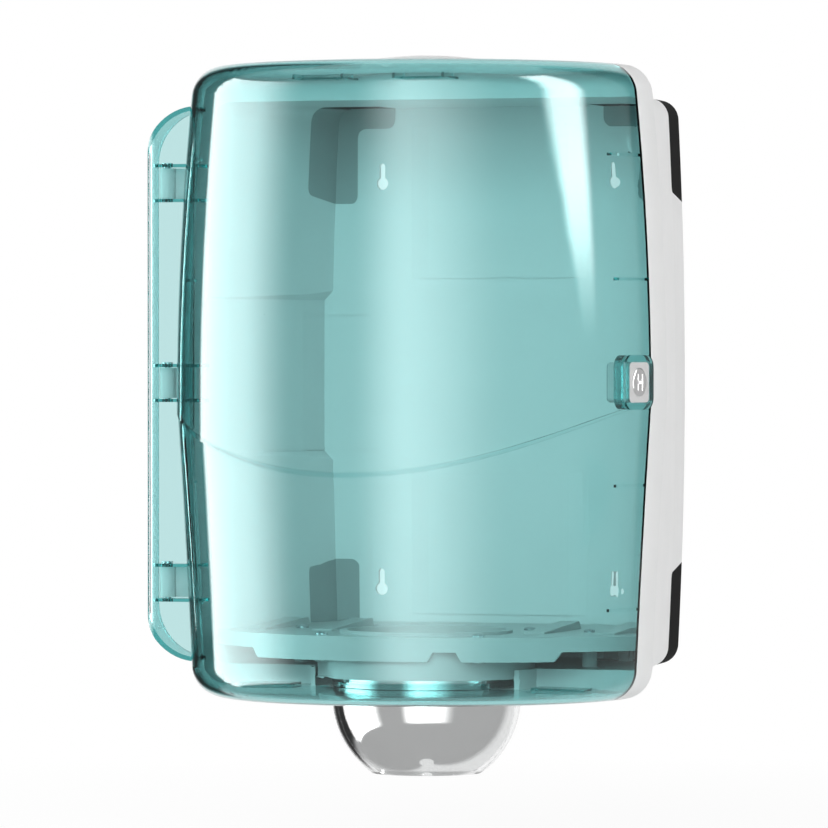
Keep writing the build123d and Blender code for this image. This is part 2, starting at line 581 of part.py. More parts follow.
with BuildPart() as holder_screws:
    with BuildSketch(Plane.XY.offset(SHELF_TOP_Z)):
        with Locations((0, AXIS_Y)):
            with PolarLocations(BOSS_ORBIT, 4, start_angle=45):
                Circle(SCREW_HEAD_R)
    extrude(amount=SCREW_HEAD_H)
    with BuildSketch(Plane.XY.offset(SHELF_TOP_Z)):
        with Locations((0, AXIS_Y)):
            with PolarLocations(BOSS_ORBIT, 4, start_angle=45):
                Circle(SCREW_R)
    extrude(amount=-SCREW_LENGTH)
    with BuildSketch(Plane.XY.offset(SHELF_TOP_Z + SCREW_HEAD_H)):
        with Locations((0, AXIS_Y)):
            with PolarLocations(BOSS_ORBIT, 4, start_angle=45):
                Rectangle(SCREW_HEAD_R, DRIVE_W)
                Rectangle(DRIVE_W, SCREW_HEAD_R)
    extrude(amount=-SCREW_HEAD_H / 2, mode=Mode.SUBTRACT)
holder_screws.part.label = "holder_screws"
export_step(holder_screws.part, "parts/holder_screws.step")

# Nozzle holder: the ring under the shelf whose inner lip carries the nozzle
with BuildPart() as nozzle_holder:
    with BuildSketch(nozzle_plane.offset(HOLDER_BOTTOM_Z)):
        Circle(HOLDER_R)
        Circle(LIP_BORE_R, mode=Mode.SUBTRACT)
    extrude(amount=LIP_T)
    with BuildSketch(nozzle_plane.offset(HOLDER_BOTTOM_Z + LIP_T)):
        Circle(HOLDER_R)
        Circle(HOLDER_BORE_R, mode=Mode.SUBTRACT)
    extrude(amount=SHELF_TOP_Z - SHELF_T - HOLDER_BOTTOM_Z - LIP_T)
    with BuildSketch(nozzle_plane.offset(HOLDER_BOSS_Z)):
        with PolarLocations(BOSS_ORBIT, 4, start_angle=45):
            Circle(BOSS_R)
        Circle(HOLDER_BORE_R, mode=Mode.SUBTRACT)
    extrude(amount=SHELF_TOP_Z - SHELF_T - HOLDER_BOSS_Z)
    with BuildSketch(nozzle_plane.offset(SHELF_TOP_Z - SHELF_T)):
        with PolarLocations(BOSS_ORBIT, 4, start_angle=45):
            Circle(SCREW_R)
    extrude(amount=SHELF_T - SCREW_LENGTH, mode=Mode.SUBTRACT)
nozzle_holder.part.label = "nozzle_holder"
export_step(nozzle_holder.part, "parts/nozzle_holder.step")

# Nozzle: bright dome, clear guard shell, funnel and tear ring turn together
flange_low_z = HOLDER_BOTTOM_Z + LIP_T + 0.1
flange_high_z = flange_low_z + FLANGE_T
dome_in_r = DOME_R - DOME_WALL
dome_drop = DOME_CENTRE_Z - DOME_BOTTOM_Z
with BuildPart() as nozzle_dome:
    with BuildSketch(profile_plane):
        with BuildLine():
            Line((EXIT_R, DOME_BOTTOM_Z), (math.sqrt(DOME_R ** 2 - dome_drop ** 2), DOME_BOTTOM_Z))
            RadiusArc((math.sqrt(DOME_R ** 2 - dome_drop ** 2), DOME_BOTTOM_Z),
                      (DOME_R, DOME_CENTRE_Z), -DOME_R)
            Polyline((DOME_R, DOME_CENTRE_Z), (DOME_R, flange_low_z),
                     (HOLDER_BORE_R - RUN_FIT, flange_low_z), (HOLDER_BORE_R - RUN_FIT, flange_high_z),
                     (dome_in_r, flange_high_z), (dome_in_r, DOME_CENTRE_Z))
            floor_in_z = DOME_BOTTOM_Z + DOME_WALL
            floor_in_r = math.sqrt(dome_in_r ** 2 - (dome_drop - DOME_WALL) ** 2)
            RadiusArc((dome_in_r, DOME_CENTRE_Z), (floor_in_r, floor_in_z), dome_in_r)
            Polyline((floor_in_r, floor_in_z), (EXIT_R, floor_in_z), (EXIT_R, DOME_BOTTOM_Z))
        make_face()
    revolve(axis=roll_axis)
nozzle_dome.part.label = "nozzle_dome"
export_step(nozzle_dome.part, "parts/nozzle_dome.step")

with BuildPart() as nozzle_shell:
    shell_in_r = DOME_R + SHELL_GAP
    with BuildSketch(profile_plane):
        with BuildLine():
            Line((math.sqrt(shell_in_r ** 2 - dome_drop ** 2), DOME_BOTTOM_Z),
                 (math.sqrt(SHELL_OUTER_R ** 2 - dome_drop ** 2), DOME_BOTTOM_Z))
            RadiusArc((math.sqrt(SHELL_OUTER_R ** 2 - dome_drop ** 2), DOME_BOTTOM_Z),
                      (SHELL_OUTER_R, DOME_CENTRE_Z), -SHELL_OUTER_R)
            Polyline((SHELL_OUTER_R, DOME_CENTRE_Z), (SHELL_OUTER_R, SHELL_TOP_Z), (DOME_R, SHELL_TOP_Z),
                     (DOME_R, DOME_CENTRE_Z), (shell_in_r, DOME_CENTRE_Z))
            RadiusArc((shell_in_r, DOME_CENTRE_Z),
                      (math.sqrt(shell_in_r ** 2 - dome_drop ** 2), DOME_BOTTOM_Z), shell_in_r)
        make_face()
    revolve(axis=roll_axis)
nozzle_shell.part.label = "nozzle_shell"
export_step(nozzle_shell.part, "parts/nozzle_shell.step")

with BuildPart() as paper_funnel:
    funnel_floor_z = DOME_BOTTOM_Z + DOME_WALL + INSERT_FLANGE_T
    funnel_rim_r = HOLDER_BORE_R - FUNNEL_FIT
    with BuildSketch(profile_plane):
        with BuildLine():
            Polyline((FUNNEL_OUT_R, funnel_floor_z), (FUNNEL_OUT_R + FUNNEL_T, funnel_floor_z),
                     (FUNNEL_TOP_R + FUNNEL_T, flange_high_z), (funnel_rim_r, flange_high_z),
                     (funnel_rim_r, flange_high_z + FUNNEL_T), (FUNNEL_TOP_R, flange_high_z + FUNNEL_T),
                     close=True)
        make_face()
    revolve(axis=roll_axis)
paper_funnel.part.label = "paper_funnel"
export_step(paper_funnel.part, "parts/paper_funnel.step")

with BuildPart() as tear_ring:
    with BuildSketch(nozzle_plane.offset(DOME_BOTTOM_Z + DOME_WALL)):
        Circle(EXIT_R + TEAR_LIP)
        Circle(TEAR_BORE_R, mode=Mode.SUBTRACT)
    extrude(amount=INSERT_FLANGE_T)
    with BuildSketch(nozzle_plane.offset(DOME_BOTTOM_Z)):
        Circle(EXIT_R - FIT)
        Circle(TEAR_BORE_R, mode=Mode.SUBTRACT)
    extrude(amount=DOME_WALL)
    with BuildSketch(nozzle_plane.offset(DOME_BOTTOM_Z - 1)):
        with PolarLocations(TEAR_BORE_R, TEAR_SLOTS):
            Rectangle(TEAR_SLOT_L, TEAR_SLOT_W)
    extrude(amount=DOME_WALL + INSERT_FLANGE_T + 2, mode=Mode.SUBTRACT)
tear_ring.part.label = "tear_ring"
export_step(tear_ring.part, "parts/tear_ring.step")

# Front cover with its hinge wing, ears, tongues, ribs and lock frame
with BuildPart() as wing_outer:
    with BuildSketch(Plane.XY.offset(WING_BOTTOM_Z)) as wing_plan:
        with BuildLine():
            Polyline((WING_LEFT_X, WING_FRONT_Y), (WING_RIGHT_X, WING_FRONT_Y), (WING_RIGHT_X, WING_BACK_Y),
                     (WING_LEFT_X, WING_BACK_Y), close=True)
        make_face()
        fillet(wing_plan.vertices().sort_by(Axis.X)[:2].sort_by(Axis.Y)[0], WING_EDGE)
    extrude(amount=WING_TOP_Z - WING_BOTTOM_Z)
    with BuildSketch(Plane.XZ.offset(-FAR)) as wing_face:
        with BuildLine():
            Polyline((WING_LEFT_X, WING_TOP_Z), (0, WING_TOP_Z), (0, WING_BOTTOM_Z),
                     (WING_LEFT_X, WING_BOTTOM_Z), close=True)
        make_face()
        fillet(wing_face.vertices().sort_by(Axis.X)[:2], WING_CORNER)
    extrude(amount=2 * FAR, mode=Mode.INTERSECT)

with BuildPart() as wing_inner:
    with BuildSketch(Plane.XY.offset(WING_BOTTOM_Z + WING_WALL)) as wing_plan:
        with BuildLine():
            Polyline((WING_LEFT_X + WING_WALL, WING_FRONT_Y + WING_WALL), (0, WING_FRONT_Y + WING_WALL),
                     (0, 0), (WING_LEFT_X + WING_WALL, 0), close=True)
        make_face()
        fillet(wing_plan.vertices().sort_by(Axis.X)[:2].sort_by(Axis.Y)[0], WING_EDGE - WING_WALL)
    extrude(amount=WING_TOP_Z - WING_BOTTOM_Z - 2 * WING_WALL)
    with BuildSketch(Plane.XZ.offset(-FAR)) as wing_face:
        with BuildLine():
            Polyline((WING_LEFT_X + WING_WALL, WING_TOP_Z - WING_WALL), (0, WING_TOP_Z - WING_WALL),
                     (0, WING_BOTTOM_Z + WING_WALL), (WING_LEFT_X + WING_WALL, WING_BOTTOM_Z + WING_WALL),
                     close=True)
        make_face()
        fillet(wing_face.vertices().sort_by(Axis.X)[:2], WING_CORNER - WING_WALL)
    extrude(amount=2 * FAR, mode=Mode.INTERSECT)

with BuildPart() as cover_skin:
    add(body_outer.part)
    add(body_inner.part, mode=Mode.SUBTRACT)

# webs that carry the tongues
tongues = ((TONGUE_TOP_LEFT_X, TONGUE_TOP_Z, TONGUE_T + GUSSET_H),
           (TONGUE_TOP_MID_X, TONGUE_TOP_Z, TONGUE_T + GUSSET_H),
           (TONGUE_LOW_RIGHT_X, TONGUE_LOW_Z, TONGUE_T - GUSSET_H),
           (-TONGUE_LOW_RIGHT_X, TONGUE_LOW_Z, TONGUE_T - GUSSET_H))
gusset_step = (TONGUE_W - GUSSET_T) / 2
gusset_y = PART_Y - TONGUE_REACH - PART_GAP / 2
with BuildPart() as tongue_gussets:
    for tongue_x, tongue_z, gusset_rise in tongues:
        with BuildSketch(Plane.XY.offset(tongue_z)):
            with Locations((tongue_x - gusset_step, gusset_y), (tongue_x + gusset_step, gusset_y)):
                Rectangle(GUSSET_T, 2 * TONGUE_REACH)
        extrude(amount=gusset_rise)
    add(body_outer.part, mode=Mode.INTERSECT)

# short stiffening ribs inside both side edges
with BuildPart() as side_ribs:
    for rib_step, rib_reach_r in ((RIB_STEP_NEAR, RIB_NEAR_R), (RIB_STEP_FAR, RIB_FAR_R)):
        for rib_z in (LOCK_Z - rib_step, LOCK_Z + rib_step):
            with BuildSketch(Plane.XY.offset(rib_z - RIB_T / 2)):
                with Locations((0, PART_Y - RIB_LENGTH / 2)):
                    Rectangle(FAR, RIB_LENGTH)
                with Locations((0, AXIS_Y)):
                    Circle(rib_reach_r, mode=Mode.SUBTRACT)
            extrude(amount=RIB_T)
    add(body_outer.part, mode=Mode.INTERSECT)

# what lies behind the parting plane, less the tongues
with BuildPart() as parting_cut:
    add(body_outer.part)
    with Locations((0, PART_Y - PART_GAP / 2 - FAR / 2, 0)):
        Box(FAR, FAR, 2 * FAR, mode=Mode.SUBTRACT)
    for tongue_x, tongue_z, gusset_rise in tongues:
        with BuildSketch(Plane.XY.offset(tongue_z)):
            with Locations((tongue_x, PART_Y)):
                Rectangle(TONGUE_W, 2 * TONGUE_REACH)
        extrude(amount=TONGUE_T, mode=Mode.SUBTRACT)

with BuildPart() as front_cover:
    add(wing_outer.part)
    add(wing_inner.part, mode=Mode.SUBTRACT)
    for knuckle_z in (KNUCKLE_MID_Z - KNUCKLE_STEP, KNUCKLE_MID_Z, KNUCKLE_MID_Z + KNUCKLE_STEP):
        for ear_z in (knuckle_z + KNUCKLE_H / 2 + EAR_GAP, knuckle_z - KNUCKLE_H / 2 - EAR_GAP - EAR_T):
            with BuildSketch(Plane.XY.offset(ear_z)):
                with BuildLine():
                    Polyline((WING_LEFT_X + 1, WING_FRONT_Y + WING_EDGE),
                             (WING_LEFT_X + WING_EDGE, WING_FRONT_Y + 1), (EAR_INNER_X, WING_FRONT_Y + 1),
                             (EAR_INNER_X, PART_Y - PART_GAP), (HINGE_X, PART_Y - PART_GAP),
                             (WING_LEFT_X + 1, HINGE_Y), close=True)
                make_face()
                with Locations((HINGE_X, HINGE_Y)):
                    Circle(KNUCKLE_R + EAR_MARGIN)
                    Circle(PIN_R, mode=Mode.SUBTRACT)
            extrude(amount=EAR_T)
    add(cover_skin.part)
    # tongues that slip under the housing's roof and over its floor
    for tongue_x, tongue_z, gusset_rise in tongues:
        with BuildSketch(Plane.XY.offset(tongue_z)):
            with Locations((tongue_x, PART_Y)):
                Rectangle(TONGUE_W, 2 * TONGUE_REACH)
        extrude(amount=TONGUE_T)
    add(tongue_gussets.part)
    add(side_ribs.part)
    # lock frame and its opening
    with BuildSketch(lock_plane.offset(-FRAME_IN)):
        RectangleRounded(PLATE_W + 2 * FRAME_MARGIN, PLATE_H + 2 * FRAME_MARGIN, PLATE_CORNER + FRAME_MARGIN)
    extrude(amount=FRAME_IN + FRAME_OUT)
    with BuildSketch(lock_plane.offset(-FRAME_IN - 1)):
        RectangleRounded(PLATE_W + 2 * FIT, PLATE_H + 2 * FIT, PLATE_CORNER + FIT)
    extrude(amount=FRAME_IN + FRAME_OUT + 2, mode=Mode.SUBTRACT)
    # hole round the nozzle and the parting cut, which spares the ears and the tongues
    with BuildSketch(nozzle_plane.offset(BOTTOM_Z - BELLY_DROP - 1)):
        Circle(NOZZLE_HOLE_R)
    extrude(amount=BELLY_DROP + WALL + 2, mode=Mode.SUBTRACT)
    add(parting_cut.part, mode=Mode.SUBTRACT)
front_cover.part.label = "front_cover"
export_step(front_cover.part, "parts/front_cover.step")

# Hinge pins, one through each knuckle and its two ears
with BuildPart() as hinge_pins:
    for knuckle_z in (KNUCKLE_MID_Z - KNUCKLE_STEP, KNUCKLE_MID_Z, KNUCKLE_MID_Z + KNUCKLE_STEP):
        pin_half = KNUCKLE_H / 2 + EAR_GAP + EAR_T
        with BuildSketch(Plane.XY.offset(knuckle_z - pin_half)):
            with Locations((HINGE_X, HINGE_Y)):
                Circle(PIN_R)
        extrude(amount=2 * pin_half)
        with BuildSketch(Plane.XY.offset(knuckle_z + pin_half)):
            with Locations((HINGE_X, HINGE_Y)):
                Circle(PIN_R + PIN_HEAD)
        extrude(amount=PIN_HEAD)
hinge_pins.part.label = "hinge_pins"
export_step(hinge_pins.part, "parts/hinge_pins.step")

# Lock: case and cap on the cover, button with stem, latch plate, screw and spring
with BuildPart() as lock_case:
    with BuildSketch(lock_plane.offset(-CASE_DEPTH)):
        RectangleRounded(PLATE_W, PLATE_H, PLATE_CORNER)
    extrude(amount=CASE_DEPTH + CASE_PROUD)
    with BuildSketch(lock_plane.offset(-CASE_DEPTH)):
        Ellipse(BUTTON_W / 2 + BUTTON_LIP + FLANGE_FIT, BUTTON_H / 2 + BUTTON_LIP + FLANGE_FIT)
    extrude(amount=CASE_DEPTH + CASE_PROUD - CASE_WALL, mode=Mode.SUBTRACT)
    with BuildSketch(lock_plane.offset(-CASE_DEPTH)):
        Ellipse(BUTTON_W / 2 + RUN_FIT, BUTTON_H / 2 + RUN_FIT)
    extrude(amount=CASE_DEPTH + CASE_PROUD + 1, mode=Mode.SUBTRACT)
lock_case.part.label = "lock_case"
export_step(lock_case.part, "parts/lock_case.step")

with BuildPart() as lock_cap:
    with BuildSketch(lock_plane.offset(-CASE_DEPTH - CAP_T)):
        RectangleRounded(PLATE_W, PLATE_H, PLATE_CORNER)
        Circle(STEM_R + RUN_FIT, mode=Mode.SUBTRACT)
    extrude(amount=CAP_T)
lock_cap.part.label = "lock_cap"
export_step(lock_cap.part, "parts/lock_cap.step")

lip_in = CASE_PROUD - CASE_WALL
latch_front = -CASE_DEPTH - CAP_T - LATCH_GAP
latch_back = latch_front - LATCH_T
with BuildPart() as lock_button:
    with BuildSketch(lock_plane.offset(lip_in - BUTTON_FLANGE_T)):
        Ellipse(BUTTON_W / 2, BUTTON_H / 2)
    extrude(amount=BUTTON_FLANGE_T - lip_in + CASE_PROUD + BUTTON_PROUD)
    fillet(lock_button.faces().sort_by(Axis(lock_plane.origin, lock_plane.z_dir))[-1].edges(), 0.6)
    with BuildSketch(lock_plane.offset(lip_in - 0.1)):
        Ellipse(BUTTON_W / 2 + BUTTON_LIP, BUTTON_H / 2 + BUTTON_LIP)
    extrude(amount=0.1 - BUTTON_FLANGE_T)
    with BuildSketch(lock_plane.offset(latch_back)):
        Circle(STEM_R)
    extrude(amount=lip_in - BUTTON_FLANGE_T - latch_back)
    with BuildSketch(lock_plane.offset(latch_back)):
        Circle(LATCH_SCREW_R)
    extrude(amount=LATCH_SCREW_L, mode=Mode.SUBTRACT)
    with BuildSketch(lock_plane.offset(CASE_PROUD + BUTTON_PROUD)):
        with Locations((-KEY_SLOT_STEP, 0), (KEY_SLOT_STEP, 0)):
            Rectangle(KEY_SLOT_T, BUTTON_H * 0.56)
        Rectangle(2 * KEY_SLOT_STEP, KEY_SLOT_T)
    extrude(amount=-KEY_SLOT_DEPTH, mode=Mode.SUBTRACT)
lock_button.part.label = "lock_button"
export_step(lock_button.part, "parts/lock_button.step")

with BuildPart() as latch_plate:
    with BuildSketch(lock_plane.offset(latch_back)):
        with Locations(((HOOK_FAR - LATCH_NEAR) / 2, 0)):
            RectangleRounded(HOOK_FAR + LATCH_NEAR, LATCH_H, 2)
        Circle(STEM_R, mode=Mode.SUBTRACT)
    extrude(amount=LATCH_T)
    with BuildSketch(lock_plane.offset(latch_front)):
        with Locations(((HOOK_NEAR + HOOK_FAR) / 2, 0)):
            Rectangle(HOOK_FAR - HOOK_NEAR, LATCH_H - 4)
    extrude(amount=HOOK_OUT)
latch_plate.part.label = "latch_plate"
export_step(latch_plate.part, "parts/latch_plate.step")

with BuildPart() as latch_screw:
    with BuildSketch(lock_plane.offset(latch_back)):
        Circle(LATCH_SCREW_HEAD_R)
    extrude(amount=-SCREW_HEAD_H)
    with BuildSketch(lock_plane.offset(latch_back)):
        Circle(LATCH_SCREW_R)
    extrude(amount=LATCH_SCREW_L)
    with BuildSketch(lock_plane.offset(latch_back - SCREW_HEAD_H)):
        Rectangle(SCREW_HEAD_R, DRIVE_W)
        Rectangle(DRIVE_W, SCREW_HEAD_R)
    extrude(amount=SCREW_HEAD_H / 2, mode=Mode.SUBTRACT)
latch_screw.part.label = "latch_screw"
export_step(latch_screw.part, "parts/latch_screw.step")

with BuildPart() as button_spring:
    spring_low = -CASE_DEPTH + SPRING_WIRE_R
    spring_high = lip_in - BUTTON_FLANGE_T - SPRING_WIRE_R
    spring_centre = lock_plane.offset(spring_low).origin
    with BuildLine() as coil:
        Helix(pitch=(spring_high - spring_low) / SPRING_TURNS, height=spring_high - spring_low,
              radius=SPRING_R, center=spring_centre, direction=lock_plane.z_dir)
    with BuildSketch(Plane(origin=coil.line @ 0, z_dir=coil.line % 0)):
        Circle(SPRING_WIRE_R)
    sweep(is_frenet=True)
button_spring.part.label = "button_spring"
export_step(button_spring.part, "parts/button_spring.step")
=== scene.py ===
"""Wiper roll dispenser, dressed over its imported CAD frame. Metres, +Z up, the front faces -Y."""
import math

import bpy
from mathutils import Euler, Matrix, Vector


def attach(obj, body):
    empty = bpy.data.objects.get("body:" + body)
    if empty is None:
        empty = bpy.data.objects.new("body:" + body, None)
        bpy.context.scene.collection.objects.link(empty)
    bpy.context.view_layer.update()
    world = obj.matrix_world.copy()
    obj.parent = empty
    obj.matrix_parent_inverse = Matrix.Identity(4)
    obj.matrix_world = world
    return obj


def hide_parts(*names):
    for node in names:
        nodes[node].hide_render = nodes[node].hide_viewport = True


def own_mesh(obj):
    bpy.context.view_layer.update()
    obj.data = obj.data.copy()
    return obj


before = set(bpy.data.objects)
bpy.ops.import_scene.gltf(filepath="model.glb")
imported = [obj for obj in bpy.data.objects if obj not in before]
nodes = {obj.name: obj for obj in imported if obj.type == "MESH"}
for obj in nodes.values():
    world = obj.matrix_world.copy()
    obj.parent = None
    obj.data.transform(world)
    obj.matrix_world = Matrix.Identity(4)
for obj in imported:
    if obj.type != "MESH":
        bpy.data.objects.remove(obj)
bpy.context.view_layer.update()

# The rear housing is one injection moulding in pale grey ABS, with the rim, the well round the nozzle,
# the bosses and the hinge knuckles in one piece. It hangs on four wall screws by its keyholes.
# The mould's fine spark-eroded grain spreads the highlights. Real grain is 0.1 mm, drawn coarser to show.
HOUSING_PALE = "#e4e4e4"
HOUSING_SHADE = "#dcdddd"
RELIEF_STRENGTH = 0.15
PATCH_SIZE = 0.04


def linear(hex_colour):
    """An sRGB hex colour as linear RGBA."""
    channels = [int(hex_colour[i:i + 2], 16) / 255 for i in (1, 3, 5)]
    return [c / 12.92 if c <= 0.04045 else ((c + 0.055) / 1.055) ** 2.4 for c in channels] + [1.0]


def add_node(tree, kind, settings=None, **inputs):
    """A new node with its settings and its inputs, by name with underscores or by number as i0, i1."""
    node = tree.nodes.new(kind)
    for key, value in (settings or {}).items():
        setattr(node, key, value)
    for key, value in inputs.items():
        numbered = key[0] == "i" and key[1:].isdigit()
        socket = node.inputs[int(key[1:])] if numbered else node.inputs[key.replace("_", " ")]
        if isinstance(value, bpy.types.NodeSocket):
            tree.links.new(value, socket)
        else:
            socket.default_value = value
    return node


def new_material(name):
    """An empty node material, its tree and its output node."""
    material = bpy.data.materials.new(name)
    material.use_nodes = True
    material.node_tree.nodes.clear()
    return material, material.node_tree, material.node_tree.nodes.new("ShaderNodeOutputMaterial")


def moulded_surface(name, light, dark, roughness, grain, height, specular=0.5, metallic=0.0):
    """A moulded or plated skin: slow patches of colour, and a fine grain in its height and gloss."""
    material, tree, output = new_material(name)
    place = add_node(tree, "ShaderNodeTexCoord").outputs["Object"]
    patches = add_node(tree, "ShaderNodeTexNoise", Vector=place, Scale=1 / PATCH_SIZE, Detail=2.0)
    colour = add_node(tree, "ShaderNodeMix", {"data_type": "RGBA"}, i0=patches.outputs["Fac"],
                      i6=linear(light), i7=linear(dark))
    grains = add_node(tree, "ShaderNodeTexNoise", Vector=place, Scale=1 / grain, Detail=3.0)
    gloss = add_node(tree, "ShaderNodeMapRange", Value=grains.outputs["Fac"],
                     To_Min=roughness[0], To_Max=roughness[1])
    relief = add_node(tree, "ShaderNodeBump", Height=grains.outputs["Fac"], Distance=height,
                      Strength=RELIEF_STRENGTH)
    shader = add_node(tree, "ShaderNodeBsdfPrincipled", Base_Color=colour.outputs[2], Metallic=metallic,
                      Roughness=gloss.outputs["Result"], Normal=relief.outputs["Normal"])
    shader.inputs["Specular IOR Level"].default_value = specular
    tree.links.new(shader.outputs["BSDF"], output.inputs["Surface"])
    return material


def dress(node_name, material):
    """Gives a CAD node its material in every slot."""
    target = nodes[node_name]
    target.data.materials.clear()
    target.data.materials.append(material)


dress("rear_housing", moulded_surface("abs_spark_eroded_moulding", HOUSING_PALE, HOUSING_SHADE,
                                      roughness=(0.36, 0.48), grain=0.0006, height=0.000006))

# The corner bumpers are compression-moulded rubber, pressed into windows of the rear section.
# Outside they are near black and matt, so they take almost no highlight. Their faces towards the front are
# painted mid grey, a painted highlight for the front light that falls on them.
BUMPER_OUTSIDE = "#161616"
BUMPER_SHADE = "#121212"
BUMPER_FRONT_PAINTED_LIGHT = "#a3a7a7"
PAINTED_LIGHT_FACE_FROM = -0.03
PAINTED_LIGHT_FACE_FULL = -0.10
rubber = moulded_surface("rubber_compression_moulded_painted_light", BUMPER_OUTSIDE, BUMPER_SHADE,
                         roughness=(0.7, 0.85), grain=0.0005, height=0.00002, specular=0.04)
tree = rubber.node_tree
# Painted light: faces whose normal points to the front are mixed to mid grey over the black rubber.
normal = add_node(tree, "ShaderNodeTexCoord").outputs["Normal"]
facing = add_node(tree, "ShaderNodeSeparateXYZ", Vector=normal)
painted_light_share = add_node(tree, "ShaderNodeMapRange", Value=facing.outputs["Y"],
                 From_Min=PAINTED_LIGHT_FACE_FROM, From_Max=PAINTED_LIGHT_FACE_FULL)
skin = tree.nodes["Principled BSDF"].inputs["Base Color"]
rubber_and_painted_light = add_node(tree, "ShaderNodeMix", {"data_type": "RGBA"}, i0=painted_light_share.outputs["Result"],
                      i6=skin.links[0].from_socket, i7=linear(BUMPER_FRONT_PAINTED_LIGHT))
tree.links.new(rubber_and_painted_light.outputs[2], skin)
for corner in ("upper_left", "upper_right", "lower_left", "lower_right"):
    dress("bumper_" + corner, rubber)

# The roll shelf is a smoother ABS moulding that carries the paper on four ridges, screwed to the housing.
# The collar under it holds the turning nozzle. Polished mould faces give both a soft satin sheen.
INNER_PALE = "#bfc0c0"
INNER_SHADE = "#b9baba"
satin_abs = moulded_surface("abs_satin_moulding", INNER_PALE, INNER_SHADE,
                            roughness=(0.26, 0.36), grain=0.0009, height=0.000005)
dress("roll_shelf", satin_abs)
dress("nozzle_holder", satin_abs)

# Eight pan-head screws with cross recesses: four hold the shelf, four the collar under it.
# Cold-headed steel with rolled threads and a thin zinc plating, which gives a cool, slightly cloudy shine.
ZINC_LIGHT = "#c4c6c8"
ZINC_DARK = "#b4b7ba"
SHELF_TOP = -0.1525
BOSS_X = 0.096
BOSS_Y = (-0.112, -0.034)
COLLAR_ORBIT = 0.072
ROLL_AXIS_Y = -0.146
SCREW_SIZES = {"Head Radius": 0.0038, "Head Height": 0.0023, "Shank Radius": 0.0020, "Length": 0.0138,
               "Thread Depth": 0.0004, "Thread Pitch": 0.0014, "Drive Width": 0.0012}
THREADED_SHARE = 0.85
THREAD_FOOT = 0.95
CROWN_OVERSIZE = 1.12
CROWN_FLATNESS = 0.893
zinc = moulded_surface("steel_zinc_plated", ZINC_LIGHT, ZINC_DARK,
                       roughness=(0.22, 0.34), grain=0.0004, height=0.000004, metallic=1.0)


def sized_tree(name, size_names):
    """A geometry nodes tree with an input for each size, those inputs' identifiers, and the sizes."""
    tree = bpy.data.node_groups.new(name, "GeometryNodeTree")
    tree.interface.new_socket("Geometry", in_out="INPUT", socket_type="NodeSocketGeometry")
    sockets = {}
    for size_name in size_names:
        size_socket = tree.interface.new_socket(size_name, in_out="INPUT", socket_type="NodeSocketFloat")
        sockets[size_name] = size_socket.identifier
    tree.interface.new_socket("Geometry", in_out="OUTPUT", socket_type="NodeSocketGeometry")
    return tree, sockets, tree.nodes.new("NodeGroupInput").outputs


def finish_tree(tree, geometry, material):
    """Ends a tree with plain geometry in one material."""
    plain = add_node(tree, "GeometryNodeRealizeInstances", Geometry=geometry)
    surfaced = add_node(tree, "GeometryNodeSetMaterial", Geometry=plain.outputs[0], Material=material)
    add_node(tree, "NodeGroupOutput", Geometry=surfaced.outputs[0])


def placed_in_scene(name, data):
    """A new object in the scene, at the origin and unturned."""
    piece = bpy.data.objects.new(name, data)
    bpy.context.scene.collection.objects.link(piece)
    return piece


def made_plain(piece, tree, sockets, sizes):
    """Runs a tree on a piece with the given sizes, and keeps what it makes as the piece's own mesh."""
    maker = piece.modifiers.new("maker", "NODES")
    maker.node_group = tree
    for name, value in sizes.items():
        maker[sockets[name]] = value
    bpy.context.view_layer.update()
    plain = bpy.data.meshes.new_from_object(piece.evaluated_get(bpy.context.evaluated_depsgraph_get()))
    piece.modifiers.clear()
    piece.data = plain


def threaded_shank(tree, sizes):
    """A screw's core below z = 0, and the helix of its thread round it."""
    core = add_node(tree, "ShaderNodeMath", {"operation": "SUBTRACT"}, i0=sizes["Shank Radius"],
                    i1=sizes["Thread Depth"]).outputs[0]
    shank = add_node(tree, "GeometryNodeMeshCylinder", Vertices=20, Radius=core, Depth=sizes["Length"])
    turns = add_node(tree, "ShaderNodeMath", {"operation": "DIVIDE"}, i0=sizes["Length"],
                     i1=sizes["Thread Pitch"])
    turns = add_node(tree, "ShaderNodeMath", {"operation": "MULTIPLY"}, i0=turns.outputs[0],
                     i1=THREADED_SHARE)
    height = add_node(tree, "ShaderNodeMath", {"operation": "MULTIPLY"}, i0=sizes["Length"],
                      i1=THREADED_SHARE)
    helix = add_node(tree, "GeometryNodeCurveSpiral", Resolution=14, Rotations=turns.outputs[0],
                     Start_Radius=core, End_Radius=core, Height=height.outputs[0])
    section = add_node(tree, "GeometryNodeCurvePrimitiveCircle", Resolution=3, Radius=sizes["Thread Depth"])
    thread = add_node(tree, "GeometryNodeCurveToMesh", Curve=helix.outputs[0],
                      Profile_Curve=section.outputs[0])
    thread.inputs["Fill Caps"].default_value = True
    return [moved_up(tree, shank.outputs["Mesh"], sizes["Length"], -0.5),
            moved_up(tree, thread.outputs[0], sizes["Length"], -THREAD_FOOT)]


